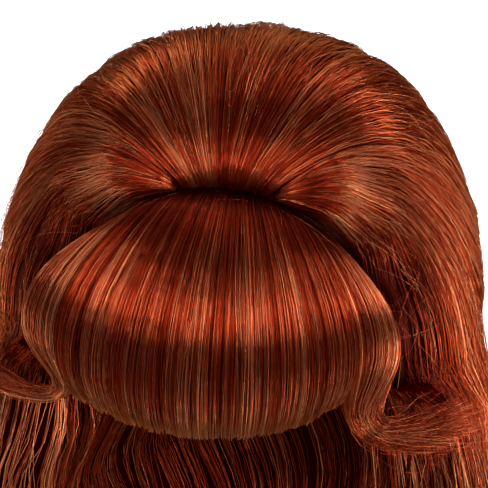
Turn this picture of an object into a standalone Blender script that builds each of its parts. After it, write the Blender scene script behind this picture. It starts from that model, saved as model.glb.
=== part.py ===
"""Beehive wig with a full fringe, flipped front locks and long waved lengths, on a plain wig cap.

The frame is in metres with +Z up. The face looks along -Y, and the wearer's left is +X.
The origin is the inside of the cap at the crown of the head, where the wig sits on the wearer.
Hair runs in flow lines. A share across picks the line, and a share along goes down it.
"""

import math

import bmesh
import bpy
from mathutils import Vector

# Head that the cap fits, measured from the middle of the head
HEAD_HALF_WIDTH = 0.078
HEAD_HALF_LENGTH = 0.099
HEAD_CROWN_HEIGHT = 0.088
HEAD_NAPE_DEPTH = 0.112

# Cap, and the gaps that pieces keep
CAP_WALL = 0.0015
SEAT_GAP = 0.0010
PIECE_GAP = 0.0008
SEAM_GAP = 0.00112

# Beehive mound: hair depth outside the cap over the top and at the sides, the gather that it is
# combed back from, and how wide its flow lines fan out between the front edge and the nape
CROWN_LIFT = 0.036
CROWN_SPREAD = 0.037
CROWN_SHOULDER = 0.0045
CROWN_LOCK_DEPTH = 0.0030
GATHER_HALF_WIDTH = 0.018
GATHER_TILT_DEG = 31.0
GATHER_FADE_DEG = 70.0
SPREAD_FRONT_DEG = 90.0
SPREAD_NAPE_DEG = 122.0
SPREAD_TURN_DEG = 100.0
EDGE_SPREAD_DEG = 115.0
LOCK_FADE_DEG = 16.0
FAN_START_DEG = 1.5
SWEEP_START_DEG = 5.0
LIP_LIFT = 0.012
LIP_ROUND = 0.016
SEAM_HEIGHT = 0.112
SEAM_TILT = 0.12
SEAM_TURN_DEG = (60.0, 165.0)

# Fringe, and the front locks that continue its roll at the temples and flip out below it
FRINGE_LIFT = 0.025
FRINGE_DROP = 0.101
FRINGE_ROOT_DEG = 50.0
ROLL_SIDE_FROM = 0.86
ROLL_SIDE_LIFT = 0.60
FRINGE_LOCK_DEPTH = 0.0016
FLIP_REACH = 0.042
FLIP_BACK = 0.016
FLIP_DROP_LEFT = 0.046
FLIP_DROP_RIGHT = 0.032
FLIP_HALF_WIDTH = 0.022
FLIP_DEPTH = 0.018
FLIP_FACING = (0.25, -0.80, 0.55)
FLIP_STEP = 0.04

# Lengths below the seam
LENGTH_DROP = 0.270
LENGTH_STEP = 0.002
LENGTH_FLARE = 0.036
LENGTH_DEPTH = 0.036
LENGTH_LOCK_DEPTH = 0.006
TIP_CUT_SHARE = 0.14
TIP_CUT_FROM_SHARE = 0.45
LENGTH_DRAW_DEG = 12.0
DRAW_FROM_DEG = -10.0
DRAW_TO_DEG = 30.0

HEAD_MIDDLE = Vector((0, 0, -HEAD_CROWN_HEIGHT))
HEAD_HEIGHT = HEAD_CROWN_HEIGHT + HEAD_NAPE_DEPTH

# Half gaps beside the front pieces and the lengths, as shares across
FRONT_GAP = PIECE_GAP / 2 / (math.radians(FRINGE_ROOT_DEG) * HEAD_HALF_WIDTH)
LENGTH_GAP = PIECE_GAP / 2 / HEAD_HALF_LENGTH

# Finishes: base colour and roughness
NET = ((0.045, 0.012, 0.008), 0.8)
AUBURN = ((0.150, 0.027, 0.010), 0.42)
COPPER = ((0.230, 0.042, 0.013), 0.34)
RUSSET = ((0.185, 0.032, 0.011), 0.40)


def table(columns, *rows):
    """A short table with named columns. read() looks along the first one."""
    return {name: [row[i] for row in rows] for i, name in enumerate(columns.split())}


# Rim of the cap, from the forehead to the nape: degrees round, and drop as a share of HEAD_HEIGHT
CAP_RIM = table(
    "turn drop",
    (0, 0.30),
    (35, 0.32),
    (58, 0.46),
    (74, 0.60),
    (90, 0.54),
    (108, 0.61),
    (140, 0.74),
    (180, 0.78),
)

# Mound from the gather over the top and down: shares of the CROWN sizes of the same name
CROWN_FORM = table(
    "turn over side shoulder",
    (0, 0.30, 0.36, 0.0),
    (8, 0.46, 0.54, 0.1),
    (20, 0.74, 0.78, 0.3),
    (34, 0.95, 0.91, 0.6),
    (50, 1.00, 0.97, 0.9),
    (70, 0.92, 1.00, 1.0),
    (90, 0.76, 1.00, 1.0),
    (110, 0.58, 0.96, 0.6),
    (130, 0.42, 0.88, 0.2),
    (150, 0.32, 0.80, 0.0),
)

# Front hair down the face: spread of the flow lines, and shares of FRINGE_LIFT
FRINGE_FORM = table(
    "along spread lift under",
    (0.00, 1.00, 0.26, 0.00),
    (0.14, 1.02, 0.52, 0.00),
    (0.30, 1.05, 0.78, 0.00),
    (0.46, 1.08, 0.95, 0.04),
    (0.62, 1.09, 1.00, 0.14),
    (0.78, 1.07, 0.94, 0.26),
    (0.90, 1.03, 0.72, 0.28),
    (1.00, 0.98, 0.42, 0.24),
)

# Lower edge of the front hair, as a share of FRINGE_DROP
FRINGE_HEM = table(
    "across drop",
    (-1.0, 1.06),
    (-0.5, 1.04),
    (0.0, 1.00),
    (0.3, 0.97),
    (0.5, 0.92),
    (1.0, 1.02),
)

# Flip at the end of a front lock: shares of the FLIP sizes
FLIP_FORM = table(
    "along out back drop width depth",
    (0.00, 0.00, 0.00, 0.00, 1.00, 1.00),
    (0.25, -0.12, 0.05, 0.36, 0.82, 0.80),
    (0.42, -0.20, 0.10, 0.68, 0.66, 0.64),
    (0.58, -0.10, 0.22, 0.92, 0.56, 0.52),
    (0.74, 0.22, 0.42, 1.00, 0.50, 0.46),
    (0.88, 0.62, 0.70, 0.94, 0.42, 0.38),
    (1.00, 1.00, 1.00, 0.78, 0.22, 0.18),
)

# Lengths from the seam to the tips, at the sides and at the back of the head: outer face as a
# share of LENGTH_FLARE, depth as a share of LENGTH_DEPTH, and how far the front edge draws back
LENGTH_FORM = table(
    "along side back depth draw",
    (0.00, 0.00, 0.00, 1.00, 0.00),
    (0.08, -0.02, -0.10, 0.94, 0.70),
    (0.22, 0.18, -0.02, 0.88, 0.50),
    (0.38, 0.48, 0.22, 0.82, 0.25),
    (0.54, 0.60, 0.30, 0.74, 0.10),
    (0.70, 0.58, 0.14, 0.60, 0.00),
    (0.85, 0.80, 0.22, 0.40, 0.00),
    (1.00, 1.00, 0.52, 0.10, 0.00),
)

# Where pieces part, as shares across, and the widths of the locks in each piece
CROWN_PART_SHARE = 0.60
FRINGE_PART_SHARE = 0.50
LENGTH_PART_SHARE = 0.52
FAN_LOCKS = (1.3, 0.9, 1.1, 0.8, 1.2, 0.9, 1.3)
SWEEP_LOCKS = (1.2, 0.9, 1.3, 1.0)
FRINGE_LOCKS = (1.1, 0.8, 1.0, 0.7, 1.2, 0.9, 0.8, 1.1, 0.9)
FRONT_LOCKS = (1.0, 0.8, 0.7)
SIDE_LOCKS = (1.0, 1.3, 0.9, 1.2, 1.0)
BACK_LOCKS = (1.1, 0.9, 1.3, 1.0, 1.2, 0.9, 1.1)

# One lock across: share of its width, and how deep that lies in the groove beside it
LOCK_SHAPE = ((0.0, 1.0), (0.22, 0.2), (0.5, 0.0), (0.78, 0.2))

# How finely pieces are divided along the hair, and the cap round and down
FAN_ROWS = (0.0, 0.06, 0.13, 0.21, 0.30, 0.40, 0.50, 0.60, 0.70, 0.80, 0.90, 1.0)
FRINGE_ROWS = (0.0, 0.10, 0.20, 0.32, 0.44, 0.56, 0.68, 0.79, 0.88, 0.95, 1.0)
FLIP_ROWS = (0.25, 0.42, 0.58, 0.74, 0.88, 1.0)
LENGTH_ROWS = (0.0, 0.07, 0.15, 0.24, 0.33, 0.42, 0.51, 0.60, 0.69, 0.78, 0.87, 0.94, 1.0)
FLIP_FROM_SHARE = 0.79
CAP_ROUND = 28
CAP_DOWN = 9


def smooth(t):
    t = min(max(t, 0.0), 1.0)
    return t * t * (3 - 2 * t)


def mix(a, b, t):
    return a + (b - a) * t


def read(rows, column, at):
    """Value of a column of a table, on a smooth curve through its rows."""
    keys = next(iter(rows.values()))
    values = rows[column]
    at = min(max(at, keys[0]), keys[-1])
    i = next(i for i in range(1, len(keys)) if at <= keys[i])
    before, after = max(i - 2, 0), min(i + 1, len(keys) - 1)
    span = keys[i] - keys[i - 1]
    t = (at - keys[i - 1]) / span
    slope_in = (values[i] - values[before]) / (keys[i] - keys[before]) * span
    slope_out = (values[after] - values[i - 1]) / (keys[after] - keys[i - 1]) * span
    rise = (values[i] - values[i - 1]) * smooth(t)
    return values[i - 1] + rise + slope_in * t * (1 - t) ** 2 - slope_out * t * t * (1 - t)


def head_reach(direction, out):
    """Distance from the middle of the head to a shell that lies out beyond its skin."""
    height = HEAD_CROWN_HEIGHT if direction.z > 0 else HEAD_NAPE_DEPTH
    across = direction.x / (HEAD_HALF_WIDTH + out)
    along = direction.y / (HEAD_HALF_LENGTH + out)
    up = direction.z / (height + out)
    return 1 / math.sqrt(across * across + along * along + up * up)


def lifted(direction, lift):
    """Point outside the cap, where lift is the depth of hair beneath it."""
    return HEAD_MIDDLE + direction * (head_reach(direction, CAP_WALL) + lift)


def crown_spread(turn):
    """Degrees between the middle flow line of the mound and its outermost one."""
    return mix(SPREAD_FRONT_DEG, SPREAD_NAPE_DEG, smooth(turn / SPREAD_TURN_DEG))


def crown_direction(across, turn):
    """Direction of a flow line of the crown, turn degrees on from the gather."""
    gather = math.radians(GATHER_TILT_DEG)
    start = Vector((0, -math.sin(gather), math.cos(gather)))
    back = Vector((0, math.cos(gather), math.sin(gather)))
    p = math.radians(turn)
    edge = math.degrees(math.acos(max(-1.0, -math.tan(gather) * math.tan(p / 2))))
    a = math.radians(across * mix(crown_spread(turn), edge, abs(across) ** 4))
    sideways = back * math.cos(a) + Vector((math.sin(a), 0, 0))
    direction = start * math.cos(p) + sideways * math.sin(p)
    row = GATHER_HALF_WIDTH / head_reach(start, CAP_WALL) * (1 - smooth(turn / GATHER_FADE_DEG))
    direction.x += row * min(max(across / CROWN_PART_SHARE, -1), 1)
    return direction.normalized()


def crown_lift(across, turn):
    """Depth of the mound, rolled over to a lip along its front edge."""
    a = math.radians(min(abs(across) * crown_spread(turn), 90))
    over = CROWN_LIFT * read(CROWN_FORM, "over", turn) * math.cos(a) ** 2
    side = CROWN_SPREAD * read(CROWN_FORM, "side", turn) * math.sin(a) ** 2
    side += CROWN_SHOULDER * read(CROWN_FORM, "shoulder", turn) * math.sin(2 * a) ** 2
    edge_length = math.radians(EDGE_SPREAD_DEG) * (HEAD_HALF_WIDTH + CAP_WALL)
    inward = (1 - abs(across)) * edge_length * math.sin(math.radians(turn)) / LIP_ROUND
    roll = math.sqrt(1 - (1 - min(inward, 1.0)) ** 2)
    return mix(min(LIP_LIFT, over + side), over + side, roll)


def seam_turn(across):
    """Where a flow line of the crown meets the tilted seam above the lengths."""
    low, high = SEAM_TURN_DEG
    for _ in range(40):
        middle = (low + high) / 2
        point = lifted(crown_direction(across, middle), crown_lift(across, middle))
        if point.z + SEAM_TILT * point.y > -SEAM_HEIGHT:
            low = middle
        else:
            high = middle
    return low


def front_direction(across, along):
    """Direction of a flow line of the front hair, from the crown's front edge down the face."""
    edge = math.radians(90 - GATHER_TILT_DEG) - PIECE_GAP / HEAD_CROWN_HEIGHT
    root = math.radians(across * FRINGE_ROOT_DEG)
    ring = math.sin(edge)
    start = Vector((math.sin(root) * ring, -math.cos(edge), math.cos(root) * ring))
    hem = FRINGE_DROP * read(FRINGE_HEM, "drop", across) - HEAD_CROWN_HEIGHT
    end_tilt = math.pi / 2 + math.asin(hem / HEAD_HALF_LENGTH)
    tilt = mix(math.acos(start.z), end_tilt, along)
    turn = math.atan2(start.x, -start.y) * read(FRINGE_FORM, "spread", along)
    return Vector((math.sin(tilt) * math.sin(turn), -math.sin(tilt) * math.cos(turn), math.cos(tilt)))


def front_lift(across, along, column):
    """Depth of the front hair at its outer or inner face, rounded at its sides."""
    lift = FRINGE_LIFT * read(FRINGE_FORM, column, along)
    if column == "under":
        return lift + SEAT_GAP
    to_side = smooth((abs(across) - ROLL_SIDE_FROM) / (1 - ROLL_SIDE_FROM))
    return lift * mix(1, ROLL_SIDE_LIFT, to_side)


def length_point(across, along, share):
    """Point of the lengths, share of the way from the inner face to the outer one."""
    turn = seam_turn(across)
    direction = crown_direction(across, turn + math.degrees(SEAM_GAP / HEAD_HALF_WIDTH))
    outer = lifted(direction, crown_lift(across, turn) - LENGTH_STEP)
    inner = lifted(direction, SEAT_GAP)
    front = math.atan2(-outer.y, abs(outer.x))
    side = max(0.0, math.cos(front)) ** 2
    flare = mix(read(LENGTH_FORM, "back", along), read(LENGTH_FORM, "side", along), side)
    outer_reach = math.hypot(outer.x, outer.y) + LENGTH_FLARE * flare
    depth = (outer - inner).to_2d().length
    depth = mix(depth, LENGTH_DEPTH, smooth(along * 4)) * read(LENGTH_FORM, "depth", along)
    reach = mix(outer_reach - depth, outer_reach, share)
    draw = math.radians(LENGTH_DRAW_DEG) * read(LENGTH_FORM, "draw", along)
    front -= draw * smooth((math.degrees(front) - DRAW_FROM_DEG) / (DRAW_TO_DEG - DRAW_FROM_DEG))
    top = mix(inner.z, outer.z, share)
    side_sign = 1 if across >= 0 else -1
    return Vector((
        side_sign * reach * math.cos(front),
        -reach * math.sin(front),
        top - LENGTH_DROP * along,
    ))


def flip_point(side, share, along, face):
    """Point of the flip that turns out below a front lock. Share and face run from 0 to 1."""
    middle = mix(FRINGE_PART_SHARE, 1, 0.5) * side
    normal = front_direction(middle, FLIP_FROM_SHARE)
    lift = mix(front_lift(middle, FLIP_FROM_SHARE, "under"), front_lift(middle, FLIP_FROM_SHARE, "lift"), 0.5)
    start = lifted(normal, lift)
    start.x *= side
    normal.x *= side
    flip_drop = FLIP_DROP_LEFT if side > 0 else FLIP_DROP_RIGHT

    def path(at):
        out, back, drop = (read(FLIP_FORM, column, at) for column in ("out", "back", "drop"))
        return start + Vector((FLIP_REACH * out, FLIP_BACK * back, -flip_drop * drop))

    ahead = (path(min(along + FLIP_STEP, 1)) - path(along - FLIP_STEP)).normalized()
    facing = normal.lerp(Vector(FLIP_FACING), smooth(along)).normalized()
    width = facing.cross(ahead).normalized() * FLIP_HALF_WIDTH * read(FLIP_FORM, "width", along)
    depth = facing * FLIP_DEPTH * read(FLIP_FORM, "depth", along)
    point = path(along) + width * (2 * share - 1) + depth * (face - 0.5)
    point.x *= side
    return point


def lock_columns(widths):
    """Shares across a piece, four to a lock, each with how deep it lies in the groove beside it."""
    columns = []
    start = 0.0
    for width in widths:
        for share, groove in LOCK_SHAPE:
            columns.append(((start + share * width) / sum(widths), groove))
        start += width
    return columns + [(1.0, 1.0)]


def hair_piece(name, columns, rows, place, finish):
    """Closed body of hair. place(share, along, groove, face) gives outer face 1 and inner face 0."""
    form = bmesh.new()
    across, down = len(columns) - 1, len(rows) - 1
    bmesh.ops.create_grid(form, x_segments=across, y_segments=down, size=1)
    made = bmesh.ops.extrude_face_region(form, geom=form.faces[:])
    outer = {item for item in made["geom"] if isinstance(item, bmesh.types.BMVert)}
    for vert in form.verts:
        share, groove = columns[round((vert.co.x + 1) / 2 * across)]
        along = rows[round((vert.co.y + 1) / 2 * down)]
        vert.co = place(share, along, groove, 1 if vert in outer else 0)
    bmesh.ops.recalc_face_normals(form, faces=form.faces[:])
    if form.calc_volume(signed=True) < 0:
        bmesh.ops.reverse_faces(form, faces=form.faces[:])
    finish_piece(name, form, finish)


def finish_piece(name, form, finish):
    """Object with a material of its own, in the wig's collection."""
    mesh = bpy.data.meshes.new(name)
    form.to_mesh(mesh)
    form.free()
    mesh.shade_smooth()
    mesh.set_sharp_from_angle(angle=math.radians(50))
    material = bpy.data.materials.new(name + "_finish")
    material.use_nodes = True
    shader = material.node_tree.nodes["Principled BSDF"]
    colour, roughness = finish
    shader.inputs["Base Color"].default_value = (*colour, 1)
    shader.inputs["Roughness"].default_value = roughness
    mesh.materials.append(material)
    piece = bpy.data.objects.new(name, mesh)
    wig.objects.link(piece)
    return piece


def rim_tilt(turn):
    """How far down from the crown the cap's rim lies, turn degrees round from the face."""
    turn = math.radians(turn)
    height = HEAD_CROWN_HEIGHT - HEAD_HEIGHT * read(CAP_RIM, "drop", abs(math.degrees(turn)))
    share = height / (HEAD_CROWN_HEIGHT if height > 0 else HEAD_NAPE_DEPTH)
    ring = math.sqrt(1 - share * share)
    level = ring / math.hypot(math.sin(turn) / HEAD_HALF_WIDTH, math.cos(turn) / HEAD_HALF_LENGTH)
    return math.atan2(level, height)


def make_cap():
    """Thin cap that the hair is sewn to: a dome with its rim cut round the face and ears."""
    form = bmesh.new()
    bmesh.ops.create_uvsphere(form, u_segments=CAP_ROUND, v_segments=CAP_DOWN + 1, radius=1)
    bottom = min(form.verts, key=lambda vert: vert.co.z)
    bmesh.ops.delete(form, geom=[bottom], context="VERTS")
    for vert in form.verts:
        ring = math.acos(min(max(vert.co.z, -1), 1)) / math.pi * (CAP_DOWN + 1) / CAP_DOWN
        turn = math.atan2(vert.co.x, -vert.co.y)
        tilt = ring * rim_tilt(math.degrees(turn))
        level = math.sin(tilt)
        direction = Vector((level * math.sin(turn), -level * math.cos(turn), math.cos(tilt)))
        vert.co = HEAD_MIDDLE + direction * head_reach(direction, 0)
    bmesh.ops.recalc_face_normals(form, faces=form.faces[:])
    cap = finish_piece("wig_cap", form, NET)
    wall = cap.modifiers.new("wall", "SOLIDIFY")
    wall.thickness = CAP_WALL
    wall.offset = 1


def crown_point(across, turn, groove, face):
    """Point of the mound, its locks fading in away from the gather."""
    direction = crown_direction(across, turn)
    depth = CROWN_LOCK_DEPTH * groove * smooth(turn / LOCK_FADE_DEG) * face
    return lifted(direction, mix(SEAT_GAP, crown_lift(across, turn), face) - depth)


def crown_gap(turn):
    """Half of the gap beside a crown piece, as a share across."""
    row = GATHER_HALF_WIDTH / CROWN_PART_SHARE * (1 - smooth(turn / GATHER_FADE_DEG))
    arc = math.radians(SPREAD_TURN_DEG) * HEAD_HALF_WIDTH * math.sin(math.radians(turn))
    return PIECE_GAP / 2 / (arc + row)


def make_crown_fan():
    """Middle of the mound: combed from the gather over the top to the nape."""
    def place(share, along, groove, face):
        across = (2 * share - 1) * CROWN_PART_SHARE
        turn = mix(FAN_START_DEG, seam_turn(across), along)
        across *= 1 - crown_gap(turn) / CROWN_PART_SHARE
        return crown_point(across, turn, groove, face)

    hair_piece("crown_fan", lock_columns(FAN_LOCKS), FAN_ROWS, place, AUBURN)


def make_sweep(side, name):
    """Side of the mound: combed from an end of the gather out and down over the ear."""
    def place(share, along, groove, face):
        turn = mix(SWEEP_START_DEG, seam_turn(mix(CROWN_PART_SHARE, 1, share)), along)
        across = mix(CROWN_PART_SHARE + 2 * crown_gap(turn), 1, share)
        point = crown_point(across, turn, groove * (share < 1), face)
        point.x *= side
        return point

    hair_piece(name, lock_columns(SWEEP_LOCKS), FAN_ROWS, place, COPPER)


def front_point(across, along, groove, face):
    """Point of the front hair, with shallow locks that part at the tips."""
    along *= 1 - 0.03 * groove * smooth((along - 0.6) / 0.4)
    direction = front_direction(across, along)
    lift = front_lift(across, along, "lift" if face else "under")
    return lifted(direction, lift - FRINGE_LOCK_DEPTH * groove * face * smooth(along * 3))


def make_fringe():
    """Full fringe: rolled out over the forehead and tucked in at its tips."""
    def place(share, along, groove, face):
        return front_point((2 * share - 1) * (FRINGE_PART_SHARE - FRONT_GAP), along, groove, face)

    hair_piece("fringe", lock_columns(FRINGE_LOCKS), FRINGE_ROWS, place, COPPER)


def make_front_lock(side, name):
    """Lock that carries the roll round the temple and flips out below it."""
    face_rows = [row for row in FRINGE_ROWS if row <= FLIP_FROM_SHARE]
    rows = face_rows + [FLIP_FROM_SHARE + row for row in FLIP_ROWS]

    def place(share, along, groove, face):
        if along > FLIP_FROM_SHARE:
            return flip_point(side, share, along - FLIP_FROM_SHARE, face)
        return front_point(side * mix(FRINGE_PART_SHARE + FRONT_GAP, 1, share), along, groove, face)

    hair_piece(name, lock_columns(FRONT_LOCKS), rows, place, COPPER)


def make_length(first, last, widths, name, finish):
    """Waved lengths below the seam, cut into locks that end at different heights."""
    def place(share, along, groove, face):
        to_tip = smooth((along - TIP_CUT_FROM_SHARE) / (1 - TIP_CUT_FROM_SHARE))
        along *= 1 - TIP_CUT_SHARE * groove * to_tip
        point = length_point(mix(first, last, share), along, face)
        level = point.to_2d()
        level *= 1 - LENGTH_LOCK_DEPTH * groove * face * smooth(along * 5) / level.length
        return Vector((*level, point.z))

    hair_piece(name, lock_columns(widths), LENGTH_ROWS, place, finish)


for old in list(bpy.data.objects):
    bpy.data.objects.remove(old)
wig = bpy.data.collections.new("beehive_wig")
bpy.context.scene.collection.children.link(wig)

make_cap()
make_crown_fan()
make_sweep(-1, "sweep_right")
make_sweep(1, "sweep_left")
make_fringe()
make_front_lock(-1, "front_lock_right")
make_front_lock(1, "front_lock_left")
make_length(-1, -LENGTH_PART_SHARE - LENGTH_GAP, SIDE_LOCKS[::-1], "side_length_right", RUSSET)
make_length(LENGTH_PART_SHARE + LENGTH_GAP, 1, SIDE_LOCKS, "side_length_left", RUSSET)
make_length(-LENGTH_PART_SHARE + LENGTH_GAP, LENGTH_PART_SHARE - LENGTH_GAP, BACK_LOCKS, "back_length", AUBURN)
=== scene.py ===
"""Looks of a beehive wig: combed strands over a soft under-layer, in place of the frame's solids.

Lengths are in metres. The face looks along -Y, and the wearer's left is +X.
Hair runs in flow lines. A share across picks the line, and a share along goes down it.
A turn is how many degrees a flow line of the mound has run on from the gather.
"""

import math

import bpy
import numpy as np
from mathutils import Matrix, Vector


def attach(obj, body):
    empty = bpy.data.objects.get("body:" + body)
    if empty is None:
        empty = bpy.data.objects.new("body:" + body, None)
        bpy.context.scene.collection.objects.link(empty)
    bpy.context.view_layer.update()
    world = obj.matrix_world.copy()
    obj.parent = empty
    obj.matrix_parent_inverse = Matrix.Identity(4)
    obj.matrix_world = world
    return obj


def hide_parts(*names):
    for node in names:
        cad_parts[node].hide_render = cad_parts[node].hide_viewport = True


bl_info = {
    "name": "Beehive Wig",
    "version": (1, 0, 0),
    "blender": (4, 5, 0),
    "location": "View3D > Sidebar > Wig",
    "description": "Combs a beehive wig strand by strand over its frame",
    "category": "Add Mesh",
}

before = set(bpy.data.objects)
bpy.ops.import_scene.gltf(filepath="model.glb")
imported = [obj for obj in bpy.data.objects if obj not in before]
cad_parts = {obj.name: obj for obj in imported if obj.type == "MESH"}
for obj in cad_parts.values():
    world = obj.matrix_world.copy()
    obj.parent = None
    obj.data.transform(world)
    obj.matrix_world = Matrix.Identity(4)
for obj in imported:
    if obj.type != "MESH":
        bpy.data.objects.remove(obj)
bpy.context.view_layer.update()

SEED = 7
TINY = 1e-9

# Head and cap that the hair lies on, measured from the middle of the head
HEAD_HALF_WIDTH = 0.078
HEAD_HALF_LENGTH = 0.099
HEAD_CROWN_HEIGHT = 0.088
HEAD_NAPE_DEPTH = 0.112
HEAD_MIDDLE = (0, 0, -HEAD_CROWN_HEIGHT)
CAP_WALL = 0.0015

# Mound, and how its flow lines fan out
CROWN_LIFT = 0.036
CROWN_SPREAD = 0.037
CROWN_SHOULDER = 0.0045
CROWN_FAN_DEG = (90, 122)
CROWN_FAN_BY_DEG = 100
CROWN_EDGE_POWER = 4
CROWN_PART = 0.6

# Row of knots that the mound is combed out of
GATHER_HALF_WIDTH = 0.018
GATHER_TILT_DEG = 31
GATHER_END_DEG = 70
GATHER_REACH = 1 / math.hypot(
    math.sin(math.radians(GATHER_TILT_DEG)) / (HEAD_HALF_LENGTH + CAP_WALL),
    math.cos(math.radians(GATHER_TILT_DEG)) / (HEAD_CROWN_HEIGHT + CAP_WALL),
)

# Rolled lip along the mound's front edge
LIP_LIFT = 0.012
LIP_ROUND = 0.016
LIP_EDGE_DEG = 115
LIP_TURN_DEG = 6
LIP_TURN_GROWTH = 2
LIP_ROOT_SHARE = 0.12

# Seam between the mound and the lengths
SEAM_HEIGHT = 0.112
SEAM_TILT = 0.12
SEAM_RANGE_DEG = (60, 165)
SEAM_HALVINGS = 40

# Fringe and front locks
FRINGE_LIFT = 0.025
FRINGE_DROP = 0.101
FRINGE_ROOT_DEG = 50
FRINGE_PART = 0.5
FRONT_SETBACK_RAD = 0.009
FRONT_THIN_FROM = 0.86
FRONT_THIN_SHARE = 0.6
FLIP_START = 0.79
FLIP_REACH = 0.045
FLIP_BACK = 0.016
FLIP_HALF_WIDTH = 0.022
FLIP_DEPTH = 0.018
FLIP_FACING = (0.25, -0.8, 0.55)
FLIP_SPAN = 0.04

# Lengths, with the sway of their locks
LENGTH_DROP = 0.27
LENGTH_STEP = 0.002
LENGTH_TURN_DEG = 0.8
LENGTH_FLARE = 0.036
LENGTH_DEPTH = 0.036
LENGTH_DRAW_DEG = 12
LENGTH_DRAW_FROM_DEG = (-10, 30)
LENGTH_PART = 0.52
WAVE_COUNT = 1.8
WAVE_SIDEWAYS = 0.008
WAVE_OUTWARD = 0.007

# What the strands do beyond the plain form. Side -1 is the right, 1 the left, 0 the back.
FRINGE_FULL_RIGHT = 0.007
SWEEP_HOLLOW = 0.012
SWEEP_SWING = 0.0018
SWEEP_WALL = 0.1
FLIP_NARROW = {-1: 0.28, 1: 0.58}
FLIP_DROP = {-1: 0.036, 1: 0.046}
# Base tint of the lengths on each side: the wearer's left is lighter and the back darker, painted
# light and shade.
LENGTH_TINT_AND_PAINTED_LIGHT = {-1: 0.45, 0: 0.4, 1: 0.52}

# Where the front edge of a sweep draws in, as shares across and along, and how strongly painted
# shade darkens that recess
RECESS_LINE = (0.62, 0.88)
RECESS_ALONG = (0.35, 0.65)
RECESS_PAINTED_SHADE = 50

# Swing of the sweeps near the gather, and its bands of painted highlight and painted shade: their
# strength, and each band's middle and width
SWING_WAVE_DEG = 22
SWING_GROW_DEG = 8
SWING_FADE_DEG = (24, 44)
SWING_PAINTED_LIGHT = 200
PAINTED_SHADE_BAND_DEG = (12, 4)
PAINTED_HIGHLIGHT_BAND_DEG = (22, 5)

# Grooves between locks
GROOVE_POWER = 3
GROOVE_OPEN_DEG = 16
GROOVE_FADE = 0.5
GROOVE_FADE_DEG = (45, 80)
CROWN_GROOVE = 0.0018
CROWN_BODY_GROOVE = 0.0022
FRONT_GROOVE = 0.0016
FRONT_BODY_GROOVE = 0.0014
LENGTH_GROOVE = 0.15

# Under-layers: their inset and their gap to the cap
CROWN_INSET = 0.0035
FRONT_INSET = 0.003
SKIN_GAP = 0.001
FRONT_BODY_GAP = 0.0008
FAN_BODY_START_DEG = 1
SWEEP_BODY_START_DEG = 4

# How many strands and loose hairs each piece has
FAN_COUNT = 2200
SWEEP_COUNT = 1100
FRINGE_COUNT = 1950
LOCK_COUNT = 560
SIDE_COUNT = 1150
BACK_COUNT = 1300
CURL_COUNT = 150
FAN_FLYAWAYS = 400
SWEEP_FLYAWAYS = 260
SLIT_HAIRS = 18
RECESS_HAIRS = 9

# Least and most width of the strands
CROWN_WIDTH = (0.00026, 0.00048)
FRONT_WIDTH = (0.00022, 0.00044)
LOCK_WIDTH = (0.00026, 0.0005)
LENGTH_WIDTH = (0.00038, 0.0007)
CURL_WIDTH = (0.00026, 0.00046)
FLYAWAY_WIDTH = 0.00012
LOOSE_WIDTH = 0.0001

# Strands: the share kept free at a piece's edge, and the depth of their layer
EDGE_SHARE = 0.002
LAYER = 0.003
LAYER_POWER = 1.5
CROWN_GAP = 0.0015
FAN_START_DEG = 0.6
SWEEP_START_DEG = 3

# Strands of the mound: many rise late, many run on past the seam, and a few stray
LATE_PORTION = 0.55
LATE_START = (0.02, 0.45)
LATE_SINK = 0.004
PAST_PORTION = 0.6
PAST_END = (1.04, 1.36)
SHORT_END = (0.7, 1.04)
STRAY_PORTION = 0.12
STRAY_DRIFT = 0.016
COMBED_DRIFT = 0.004
STRAY_TINT = 8

# Front hair: share along at its roots and tips
FRONT_ROOT = -0.04
FRONT_BODY_ROOT = -0.06
FRONT_BODY_TIP = 0.85
FRONT_TIP = 0.935
FRONT_TIP_SPREAD = 0.008
FRONT_TIP_WAVE = 0.006
ROOT_RISE = 0.1

# Studio: the lights' name, height and turn in degrees, size and power in watts
LIGHT_REACH = 1.6
LIGHT_AIM = (0, 0, -0.08)
LIGHTS = (
    ("left_key", 27, -40, 0.6, 18.5),
    ("right_key", 27, 56, 0.6, 25),
    ("front_key", 37, 10, 0.7, 23),
    ("crown_key", 60, 5, 0.35, 5),
    ("back", 62, 180, 1, 8),
    ("top_rim", 18, 172, 0.8, 8),
    ("right_rim", 30, 130, 0.6, 24),
    ("left_rim", 30, -140, 0.6, 18),
    ("low_left", -30, -80, 0.8, 12),
    ("low_right", -30, 80, 0.8, 36),
)
CAMERA_TURN_HEIGHT_DEG = (9.3, 34)
CAMERA_ROLL_DEG = 0.9
CAMERA_REACH = 1.1
CAMERA_AIM = (0.001, 0, -0.067)
CAMERA_LENS_MM = 167.8
FLOOR_SIDES = 64


def table(columns, *rows):
    """A short table with named columns. read() looks along the first one."""
    names = columns.split()
    return {name: np.array([row[i] for row in rows], float) for i, name in enumerate(names)}


CROWN_FORM = table(
    "turn over side shoulder",
    (0, 0.3, 0.36, 0),
    (8, 0.46, 0.54, 0.1),
    (20, 0.74, 0.78, 0.3),
    (34, 0.95, 0.91, 0.6),
    (50, 1, 0.97, 0.9),
    (70, 0.92, 1, 1),
    (90, 0.76, 1, 1),
    (110, 0.58, 0.96, 0.6),
    (130, 0.42, 0.88, 0.2),
    (150, 0.32, 0.8, 0),
)

CROWN_LEAN = table(
    "turn left right left_shoulder",
    (0, 0, 0, 0),
    (35, -0.0015, 0, 0.0005),
    (58, -0.0035, 0, 0.0028),
    (78, -0.0025, 0.0015, 0.0022),
    (86, 0, 0.0025, 0.0008),
    (96, 0.0028, 0, 0),
    (106, 0.0035, -0.003, 0),
    (130, 0.003, -0.002, 0),
    (150, 0.0015, 0, 0),
)

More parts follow.
